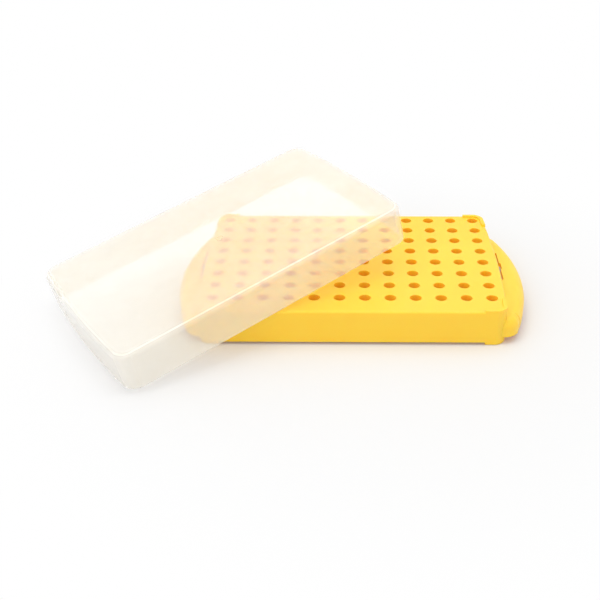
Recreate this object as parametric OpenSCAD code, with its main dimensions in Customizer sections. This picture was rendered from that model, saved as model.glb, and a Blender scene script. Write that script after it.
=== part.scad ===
// Low tube rack with a grid of sleeved wells and a finger wing at each end,
// and its lift-off lid, which leans on the rack's front edge with one end on the bench.
// Origin: centre of the block's footprint on the bench. X along the rack, Y to the back, Z up.

/* [Wells] */
// Wells along the rack
columns = 12; // [8:1:14]
// Wells across the rack
rows = 8; // [6:1:10]
// Distance between neighbouring wells
pitch = 9; // [8:0.25:10]
// Diameter of a well
well_d = 4.2; // [3.6:0.1:5]
// Wall of the sleeve round each well
sleeve_wall = 0.9; // [0.7:0.1:1.2]
// Height of the sleeves' and ribs' lower ends above the bench
sleeve_gap = 1.6; // [1.2:0.1:4]
// Thickness of the ribs that tie the sleeves to the walls
rib_t = 0.8; // [0.6:0.1:1.2]

/* [Block] */
// Height of the deck above the bench
block_h = 13.1; // [12:0.1:18]
// Front row of wells to the front face
front_margin = 10.1; // [8:0.1:14]
// Back row of wells to the back face
back_margin = 4.6; // [4.4:0.1:7]
// Outer columns of wells to the middle of the end faces
end_margin = 5.7; // [5.4:0.1:8]
// Outward bow of the end faces
end_bow = 1.2; // [0.6:0.1:1.6]
// Thickness of the deck
deck_t = 2; // [1.4:0.1:3]
// Thickness of the side walls
wall_t = 1.6; // [1.2:0.1:2]
// Radius of the upright corners
block_corner = 4.5; // [4:0.1:5]
// Rounding of the deck's outer edge
block_edge = 0.7; // [0.3:0.1:1]

/* [Feet and lips] */
// Height of the corner feet
foot_h = 0.9; // [0.6:0.1:1.2]
// Length of a foot along each wall
foot_l = 7.3; // [5:0.1:12]
// Height of the corner lips above the deck
lip_h = 0.6; // [0.4:0.1:1.6]
// Thickness of the corner lips
lip_t = 1.4; // [1:0.1:1.8]
// Length of a lip along the rack
lip_x = 8; // [6:0.1:12]
// Length of a lip across the rack
lip_y = 9.5; // [8:0.1:14]

/* [Wings] */
// Reach of a wing past the end face, at its middle
wing_reach = 9.1; // [8:0.1:12]
// Outward bow of a wing's outer edge
wing_bow = 4.7; // [3:0.1:5]
// Step from the deck down to a wing
wing_drop = 4; // [3:0.1:4.5]
// Height of a wing's lower edge above the bench
wing_gap = 2.6; // [2:0.1:3.4]
// Distance from a wing's front end to the front face
wing_front = 0.85; // [0.6:0.05:3]
// Distance from a wing's back end to the back face
wing_back = 9.35; // [6:0.05:11]
// Thickness of a wing
wing_t = 1.6; // [1.2:0.1:2]
// Radius of a wing's outer corners
wing_corner = 6; // [5:0.5:7]
// Rounding of a wing's upper edge
wing_edge = 3.5; // [2.5:0.5:3.5]
// Length of the slot beside each end face
slot_l = 21.3; // [10:0.1:30]
// Width of the slot beside each end face
slot_w = 1.7; // [1:0.1:2.2]
// Length of the wider notch in the middle of the slot
notch_l = 4.6; // [3:0.1:8]
// Reach of the notch past the slot
notch_w = 0.5; // [0.2:0.1:0.8]

/* [Lid] */
// Height of the lid
lid_h = 14.2; // [10:0.1:20]
// Thickness of the lid
lid_t = 1.3; // [1:0.1:1.6]
// Clear gap between the end faces and the lid's end walls when it is on
lid_end_gap = 2; // [0.6:0.1:3]
// Outward bow of the lid's end walls
lid_bow = 1; // [0.6:0.1:2]
// Radius of the lid's upright corners
lid_corner = 6; // [5:0.1:9]
// Rounding of the lid's upper edge
lid_edge = 2.2; // [1.8:0.1:4]
// Width of the tab in the middle of each end wall
tab_w = 20; // [10:0.1:28]
// Drop of the tab below the rim
tab_h = 0.6; // [0.4:0.1:1.5]
// Outer diameter of the gate ring on the top
gate_d = 3; // [2:0.1:5]
// Line width of the gate ring
gate_line = 0.4; // [0.3:0.1:0.6]
// Depth of the gate ring
gate_depth = 0.2; // [0.1:0.05:0.4]

/* [Lid leaning on the rack] */
// Turn of the lid against the rack, in degrees
lean_yaw = 33.75; // [28:0.25:42]
// Level distance from the lid's end on the bench to its touching point
lean_run = 55.7; // [50:0.1:62]
// Touching point along the front edge, from the middle of the rack
lean_x = -27.2; // [-32:0.1:-10]
// Gap left between the lid's rim and the front edge
lean_gap = 0.3; // [0.2:0.05:0.8]

/* [Hidden] */
$fn = 96;
through = 1;
blend = 0.12;
grid_l = (columns - 1) * pitch;
grid_w = (rows - 1) * pitch;
grid_y = (front_margin - back_margin) / 2;
sleeve_d = well_d + 2 * sleeve_wall;

block_l = grid_l / 2 + end_margin;
block_w = (grid_w + front_margin + back_margin) / 2;
block_r = bow_r(block_w - block_corner, end_bow);
corner_x = block_l - end_bow;

wing_l = block_l + wing_reach;
wing_w = block_w - (wing_front + wing_back) / 2;
wing_y = (wing_front - wing_back) / 2;
wing_r = bow_r(wing_w - wing_corner, wing_bow);
wing_h = block_h - wing_drop - wing_gap;

lid_l = block_l + lid_end_gap + lid_t;
lid_w = grid_w / 2 + back_margin;
lid_r = bow_r(lid_w - lid_corner, lid_bow);

// The lid turns up about the foot of its tab until the inner edge of its front rim
// clears the block's front edge at the touching point.
touch_z = block_h + lean_gap;
touch_w = lid_w - lid_t;
rim_run = sqrt(lean_run * lean_run + touch_z * touch_z - tab_h * tab_h);
lean = atan2(touch_z, lean_run) - atan2(tab_h, rim_run);
foot_x = lean_x - lean_run * cos(lean_yaw) - touch_w * sin(lean_yaw);
foot_y = -block_w - lean_run * sin(lean_yaw) + touch_w * cos(lean_yaw);

// Radius of an arc from half its chord and its rise, to the nearest millimetre
function bow_r(half, rise) = round((half * half + rise * rise) / (2 * rise));

// Section from the axis out to r, h high, with its outer top corner rounded by e
module edge_profile(r, h, e) {
    square([r, h - e]);
    if (e > 0) {
        square([r - e, h]);
        intersection() {
            translate([r - e, h - e])
                circle(e);
            square([r + through, h + through]);
        }
    }
}

// Section 2 w wide, h high, with both top corners rounded by e
module side_profile(w, h, e) {
    translate([-w, 0])
        square([2 * w, h - e]);
    if (e > 0) {
        translate([e - w, 0])
            square([2 * (w - e), h]);
        intersection() {
            for (s = [-1, 1])
                translate([s * (w - e), h - e])
                    circle(e);
            translate([-w - through, 0])
                square([2 * (w + through), h + through]);
        }
    }
}

// Disc with its upper edge rounded by e
module edge_disc(r, h, e) {
    rotate_extrude($fn = max($fn, 2 * round(r)))
        edge_profile(r, h, e);
}

// Box with straight long sides, ends bowed on radius r and corner radius c; its top edge is
// rounded by e along the ends and by side_e along the sides and corners; l and w are half sizes
module bowed_box(l, w, r, c, h, e, side_e) {
    cx = l - r + sqrt(pow(r - c, 2) - pow(w - c, 2));
    cy = w - c;
    intersection() {
        rotate([90, 0, 90])
            translate([0, 0, -l - through])
                linear_extrude(2 * (l + through))
                    side_profile(w, h, side_e);
        translate([l - r, 0, 0])
            edge_disc(r, h, e);
        translate([r - l, 0, 0])
            edge_disc(r, h, e);
        union() {
            translate([-cx, -w - through, 0])
                cube([2 * cx, 2 * (w + through), h]);
            translate([-l - through, -cy, 0])
                cube([2 * (l + through), 2 * cy, h]);
            for (sx = [-1, 1], sy = [-1, 1])
                translate([sx * cx, sy * cy, 0])
                    edge_disc(c + blend, h, side_e);
        }
    }
}

// The block's outline moved inwards by t
module block_body(t, h, e = 0) {
    bowed_box(block_l - t, block_w - t, block_r - t, block_corner - t, h, e, e);
}

// The wings' outline moved inwards by t
module wing_body(t, h, e) {
    translate([0, wing_y, 0])
        bowed_box(wing_l - t, wing_w - t, wing_r - t, wing_corner - t, h, e, e);
}

// The lid's outline moved inwards by t
module lid_body(t, h, e = 0) {
    bowed_box(lid_l - t, lid_w - t, lid_r - t, lid_corner - t, h, e, e);
}

// Walls and deck, open below
module block_shell() {
    difference() {
        translate([0, 0, foot_h])
            block_body(0, block_h - foot_h, block_edge);
        translate([0, 0, foot_h - through])
            block_body(wall_t, block_h - deck_t - foot_h + through);
    }
}

// The four corner angles of the block's outer wall, t thick, from z0 to z1
module corner_angles(t, z0, z1, leg_x, leg_y) {
    intersection() {
        difference() {
            translate([0, 0, z0])
                block_body(0, z1 - z0);
            translate([0, 0, z0 - through])
                block_body(t, z1 - z0 + 2 * through);
        }
        for (mx = [0, 1], my = [0, 1])
            mirror([mx, 0, 0])
                mirror([0, my, 0])
                    translate([corner_x - leg_x, block_w - leg_y, z0 - through])
                        cube([leg_x + end_bow + through, leg_y + through, z1 - z0 + 2 * through]);
    }
}

// Hollow finger wing on the right-hand end wall, open below, with the slot beside the wall
module wing() {
    color("#f7cf45")
        difference() {
            translate([0, 0, wing_gap])
                wing_body(0, wing_h, wing_edge);
            translate([0, 0, wing_gap - through])
                wing_body(wing_t, wing_h - wing_t + through, wing_edge - wing_t);
            block_body(0, block_h);
            translate([-wing_l - through, -block_w, 0])
                cube([wing_l + through, 2 * block_w, block_h]);
            translate([corner_x, grid_y - slot_l / 2, wing_gap])
                cube([end_bow + slot_w, slot_l, wing_h + through]);
            translate([corner_x, grid_y - notch_l / 2, wing_gap])
                cube([end_bow + slot_w + notch_w, notch_l, wing_h + through]);
        }
}

// One post or hole at every place of the grid
module at_wells(d, z0, z1) {
    for (i = [0 : columns - 1], j = [0 : rows - 1])
        translate([i * pitch - grid_l / 2, j * pitch - grid_w / 2 + grid_y, z0])
            cylinder(d = d, h = z1 - z0);
}

// Ribs under the deck along every row and column
module ribs() {
    intersection() {
        block_body(wall_t / 2, block_h - deck_t / 2);
        union() {
            for (i = [0 : columns - 1])
                translate([i * pitch - grid_l / 2 - rib_t / 2, -block_w, sleeve_gap])
                    cube([rib_t, 2 * block_w, block_h]);
            for (j = [0 : rows - 1])
                translate([-block_l, j * pitch - grid_w / 2 + grid_y - rib_t / 2, sleeve_gap])
                    cube([2 * block_l, rib_t, block_h]);
        }
    }
}

module rack() {
    color("#f7cf45")
        difference() {
            union() {
                block_shell();
                corner_angles(wall_t, 0, foot_h + through, foot_l, foot_l);
                corner_angles(lip_t, block_h - through, block_h + lip_h, lip_x, lip_y);
                at_wells(sleeve_d, sleeve_gap, block_h - deck_t / 2);
                ribs();
            }
            at_wells(well_d, sleeve_gap - through, block_h + through);
        }
}

module left_wing() {
    mirror([1, 0, 0])
        wing();
}

module right_wing() {
    wing();
}

// Lid in its own frame: rim at z = 0, top at z = lid_h
module lid_shell() {
    difference() {
        union() {
            lid_body(0, lid_h, lid_edge);
            intersection() {
                translate([0, 0, -tab_h])
                    lid_body(0, tab_h + through);
                cube([2 * lid_l + through, tab_w, 2 * (tab_h + through)], center = true);
            }
        }
        translate([0, 0, -tab_h - through])
            lid_body(lid_t, lid_h - lid_t + tab_h + through, lid_edge - lid_t);
        translate([0, 0, lid_h - gate_depth])
            difference() {
                cylinder(d = gate_d, h = gate_depth + through);
                cylinder(d = gate_d - 2 * gate_line, h = gate_depth + through);
            }
    }
}

module lid() {
    color([0.96, 0.96, 0.93, 0.45])
        translate([foot_x, foot_y, 0])
            rotate([0, -lean, lean_yaw])
                translate([lid_l, 0, tab_h])
                    lid_shell();
}

rack();
left_wing();
right_wing();
lid();
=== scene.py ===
"""Lidded tube rack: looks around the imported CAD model. Metres, row frame."""
import math

import bpy
from mathutils import Matrix, Vector

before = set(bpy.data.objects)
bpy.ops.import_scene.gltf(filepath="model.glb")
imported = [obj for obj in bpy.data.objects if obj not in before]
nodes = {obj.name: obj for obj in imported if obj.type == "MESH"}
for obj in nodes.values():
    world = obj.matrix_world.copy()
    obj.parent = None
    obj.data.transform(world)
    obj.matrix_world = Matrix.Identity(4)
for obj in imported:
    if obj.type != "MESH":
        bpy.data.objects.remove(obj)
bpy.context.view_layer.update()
scene = bpy.context.scene
scene.view_settings.view_transform = "Standard"

# Enough bounces for the light to turn orange inside the wells
LIGHT_BOUNCES = 40
scene.cycles.max_bounces = LIGHT_BOUNCES
scene.cycles.diffuse_bounces = LIGHT_BOUNCES

WHITE = (1.0, 1.0, 1.0, 1.0)

# Plastic: noise scales per metre, their detail, and the depth of the grain
COLOUR_SCALE = 55.0
GLOSS_SCALE = 420.0
GRAIN_SCALE = 2600.0
BROAD_DETAIL = 3.0
FINE_DETAIL = 2.0
SHADE_PLACES = (0.3, 0.7)
GRAIN_DEPTH = 0.0002

# Rack: two shades of yellow, the range of roughness and the strength of the grain
RACK_SHADES = ((1.0, 0.605, 0.034), (1.0, 0.635, 0.042))
RACK_ROUGHNESS = (0.34, 0.44)
RACK_GRAIN = 0.08

# Lid: two milky shades, and how much of the view each surface hides
LID_SHADES = ((0.89, 0.85, 0.755), (0.92, 0.88, 0.785))
LID_ROUGHNESS = (0.44, 0.52)
LID_GRAIN = 0.03
VEIL_SCALE = 90.0
VEIL_RANGE = (0.32, 0.37)

# Painted highlight on the lid's rounded upper edge: its slope against the top, where the lamps'
# reflection falls, how far the painted highlight line reaches to each side of that slope, and
# how much more it hides
HIGHLIGHT_SLOPE = 0.87
HIGHLIGHT_FULL = 0.03
HIGHLIGHT_END = 0.10
HIGHLIGHT_VEIL = 0.24

# Floor: shadow within SHADOW_NEAR of its centre, plain white beyond SHADOW_FAR
FLOOR_HALF = 1.6
FLOOR_DROP = 0.0002
FLOOR_GREY = (0.76, 0.76, 0.76, 1.0)
SHADOW_CENTRE = (0.01, -0.02, 0.0)
SHADOW_NEAR = 0.06
SHADOW_FAR = 0.15
SHADOW_GLOW = 0.05

# Light: the world's strength on surfaces, and each lamp's name, place, size and power
WORLD_STRENGTH = 0.92
LAMPS = (
    ("top_softbox", (0.0, 0.12, 0.75), (0.8, 0.6), 0.8),
    ("edge_strip", (0.0, -0.05, 0.7), (0.6, 0.1), 1.2),
    ("left_fill", (-0.5, -0.5, 0.4), (0.6, 0.5), 0.7),
)

# Camera at the photograph's viewpoint: angles in degrees, focal length and shift in pixels
CAMERA_AZIMUTH = 0.43
CAMERA_ELEVATION = 30.29
CAMERA_PLACE = (-0.0035, -0.32665, 0.1861)
SENSOR_WIDTH = 36.0
PICTURE_WIDTH = 600.0
FOCAL_PIXELS = 973.0
SHIFT_PIXELS = -36.0
CLIP_START = 0.01


class Graph:
    """A node tree with short calls for adding and joining nodes."""

    def __init__(self, tree, output):
        self.tree = tree
        self.tree.nodes.clear()
        self.out = self.add(output)

    def add(self, kind, **values):
        """New node; each value is a property of the node or the name of an input."""
        node = self.tree.nodes.new("ShaderNode" + kind)
        for key, value in values.items():
            if hasattr(node, key):
                setattr(node, key, value)
            else:
                node.inputs[key.replace("_", " ")].default_value = value
        return node

    def join(self, a, b):
        self.tree.links.new(a, b)

    def noise(self, scale, detail):
        node = self.add("TexNoise", Scale=scale, Detail=detail)
        self.join(self.add("TexCoord").outputs["Object"], node.inputs["Vector"])
        return node.outputs["Fac"]

    def ramp(self, fac, shades):
        node = self.add("ValToRGB")
        for point, place, shade in zip(node.color_ramp.elements, SHADE_PLACES, shades):
            point.position = place
            point.color = (*shade, 1.0)
        self.join(fac, node.inputs["Fac"])
        return node.outputs["Color"]

    def span(self, fac, **values):
        """A value mapped from one range to another, each 0 to 1 unless stated."""
        node = self.add("MapRange", **values)
        self.join(fac, node.inputs["Value"])
        return node.outputs["Result"]

    def calc(self, operation, a, b=0.0):
        node = self.add("Math", operation=operation)
        for socket, value in zip(node.inputs, (a, b)):
            if isinstance(value, float):
                socket.default_value = value
            else:
                self.join(value, socket)
        return node.outputs[0]

    def compare(self, operation, link, vector):
        """Distance or dot product between a linked vector and a fixed one."""
        node = self.add("VectorMath", operation=operation)
        self.join(link, node.inputs[0])
        node.inputs[1].default_value = vector
        return node.outputs["Value"]

    def seen_directly(self):
        """1 for rays from the camera, from a mirror and through glass, else 0."""
        path = self.add("LightPath").outputs
        seen = self.calc("MAXIMUM", path["Is Camera Ray"], path["Is Glossy Ray"])
        return self.calc("MAXIMUM", seen, path["Is Transmission Ray"])

    def mix(self, fac, a, b):
        node = self.add("MixShader")
        for socket, link in zip(node.inputs, (fac, a.outputs[0], b.outputs[0])):
            self.join(link, socket)
        self.join(node.outputs[0], self.out.inputs["Surface"])


def new_material(name):
    mat = bpy.data.materials.new(name)
    mat.use_nodes = True
    return mat, Graph(mat.node_tree, "OutputMaterial")


def plastic(g, shades, roughness, grain, **values):
    """Moulded plastic: uneven colour, uneven gloss and a fine spark-eroded grain."""
    shader = g.add("BsdfPrincipled", **values)
    colour = g.ramp(g.noise(COLOUR_SCALE, BROAD_DETAIL), shades)
    g.join(colour, shader.inputs["Base Color"])
    low, high = roughness
    gloss = g.span(g.noise(GLOSS_SCALE, FINE_DETAIL), To_Min=low, To_Max=high)
    g.join(gloss, shader.inputs["Roughness"])
    bump = g.add("Bump", Strength=grain, Distance=GRAIN_DEPTH)
    g.join(g.noise(GRAIN_SCALE, FINE_DETAIL), bump.inputs["Height"])
    g.join(bump.outputs["Normal"], shader.inputs["Normal"])
    g.join(shader.outputs["BSDF"], g.out.inputs["Surface"])
    return shader


def rack_material():
    """Yellow satin plastic with some light in its surface."""
    mat, g = new_material("rack_yellow_plastic")
    plastic(
        g, RACK_SHADES, RACK_ROUGHNESS, RACK_GRAIN,
        IOR=1.45,
        Subsurface_Weight=0.35,
        Subsurface_Radius=(1.0, 0.35, 0.05),
        Subsurface_Scale=0.002,
    )
    return mat


def lid_material(up):
    """Frosted plastic, with a painted highlight: a whiter band along the rounded edge between
    the top and the walls.
    """
    mat, g = new_material("lid_frosted_plastic")
    # An IOR near 1 keeps the walls from bending the view; the coat gives the gloss
    shader = plastic(
        g, LID_SHADES, LID_ROUGHNESS, LID_GRAIN,
        IOR=1.03,
        Transmission_Weight=0.1,
        Coat_Weight=1.0,
        Coat_Roughness=0.08,
        Coat_IOR=1.5,
        Subsurface_Weight=1.0,
        Subsurface_Radius=(1.0, 1.0, 1.0),
        Subsurface_Scale=0.0015,
    )
    # Painted highlight: a band of the rounded edge, at the slope where the lamps' reflection
    # falls, is made whiter and hides more of the view
    slope = g.compare("DOT_PRODUCT", g.add("TexCoord").outputs["Normal"], up)
    off_highlight = g.calc("SUBTRACT", g.calc("ABSOLUTE", slope), HIGHLIGHT_SLOPE)
    highlight_band = g.span(
        g.calc("ABSOLUTE", off_highlight),
        interpolation_type="SMOOTHSTEP",
        From_Min=HIGHLIGHT_FULL,
        From_Max=HIGHLIGHT_END,
        To_Min=1.0,
        To_Max=0.0,
    )
    low, high = VEIL_RANGE
    veil = g.span(g.noise(VEIL_SCALE, BROAD_DETAIL), To_Min=low, To_Max=high)
    painted_highlight = g.calc("MULTIPLY", highlight_band, HIGHLIGHT_VEIL)
    g.join(g.calc("ADD", veil, painted_highlight), shader.inputs["Alpha"])
    return mat


def floor_material():
    """White floor that keeps the shadow near the object and turns plain white away from it."""
    mat, g = new_material("floor_white")
    place = g.add("NewGeometry").outputs["Position"]
    glow = g.span(
        g.compare("DISTANCE", place, SHADOW_CENTRE),
        interpolation_type="SMOOTHSTEP",
        From_Min=SHADOW_NEAR,
        From_Max=SHADOW_FAR,
        To_Min=SHADOW_GLOW,
    )
    shaded = g.add("BsdfDiffuse", Color=FLOOR_GREY)
    white = g.add("Emission", Color=WHITE, Strength=1.0)
    g.mix(g.calc("MULTIPLY", g.seen_directly(), glow), shaded, white)
    return mat


def dress_nodes():
    """Give each CAD node its material."""
    yellow = rack_material()
    # The lid's largest face is its top
    lid_top = max(nodes["lid"].data.polygons, key=lambda face: face.area)
    finishes = {
        "rack": yellow,
        "left_wing": yellow,
        "right_wing": yellow,
        "lid": lid_material(lid_top.normal),
    }
    for name, mat in finishes.items():
        mesh = nodes[name].data
        mesh.materials.clear()
        mesh.materials.append(mat)


def add_floor():
    mesh = bpy.data.meshes.new("floor")
    signs = ((-1, -1), (1, -1), (1, 1), (-1, 1))
    corners = [(x * FLOOR_HALF, y * FLOOR_HALF, 0.0) for x, y in signs]
    mesh.from_pydata(corners, [], [(0, 1, 2, 3)])
    mesh.materials.append(floor_material())
    floor = bpy.data.objects.new("floor", mesh)
    floor.location.z = -FLOOR_DROP
    scene.collection.objects.link(floor)


def add_world():
    """Soft light from all sides, plain white where it is seen directly."""
    scene.world = bpy.data.worlds.new("studio")
    scene.world.use_nodes = True
    g = Graph(scene.world.node_tree, "OutputWorld")
    light = g.add("Background", Color=WHITE, Strength=WORLD_STRENGTH)
    white = g.add("Background", Color=WHITE, Strength=1.0)
    g.mix(g.seen_directly(), light, white)


def add_lamp(name, place, size, power):
    """Rectangular lamp that points at the origin."""
    data = bpy.data.lights.new(name, "AREA")
    data.shape = "RECTANGLE"
    data.size, data.size_y = size
    data.energy = power
    lamp = bpy.data.objects.new(name, data)
    lamp.location = place
    lamp.rotation_euler = (-Vector(place)).to_track_quat("-Z", "Y").to_euler()
    scene.collection.objects.link(lamp)


def add_camera():
    azimuth = math.radians(CAMERA_AZIMUTH)
    elevation = math.radians(CAMERA_ELEVATION)
    level = math.cos(elevation)
    look = Vector((-math.sin(azimuth) * level, math.cos(azimuth) * level, -math.sin(elevation)))
    right = look.cross(Vector((0, 0, 1))).normalized()
    turn = Matrix((right, right.cross(look), -look)).transposed().to_4x4()
    data = bpy.data.cameras.new("camera")
    data.sensor_width = SENSOR_WIDTH
    data.lens = SENSOR_WIDTH * FOCAL_PIXELS / PICTURE_WIDTH
    data.shift_x = SHIFT_PIXELS / PICTURE_WIDTH
    data.clip_start = CLIP_START
    camera = bpy.data.objects.new("camera", data)
    camera.matrix_world = Matrix.Translation(CAMERA_PLACE) @ turn
    scene.collection.objects.link(camera)
    scene.camera = camera


dress_nodes()
add_floor()
add_world()
for lamp_values in LAMPS:
    add_lamp(*lamp_values)
add_camera()
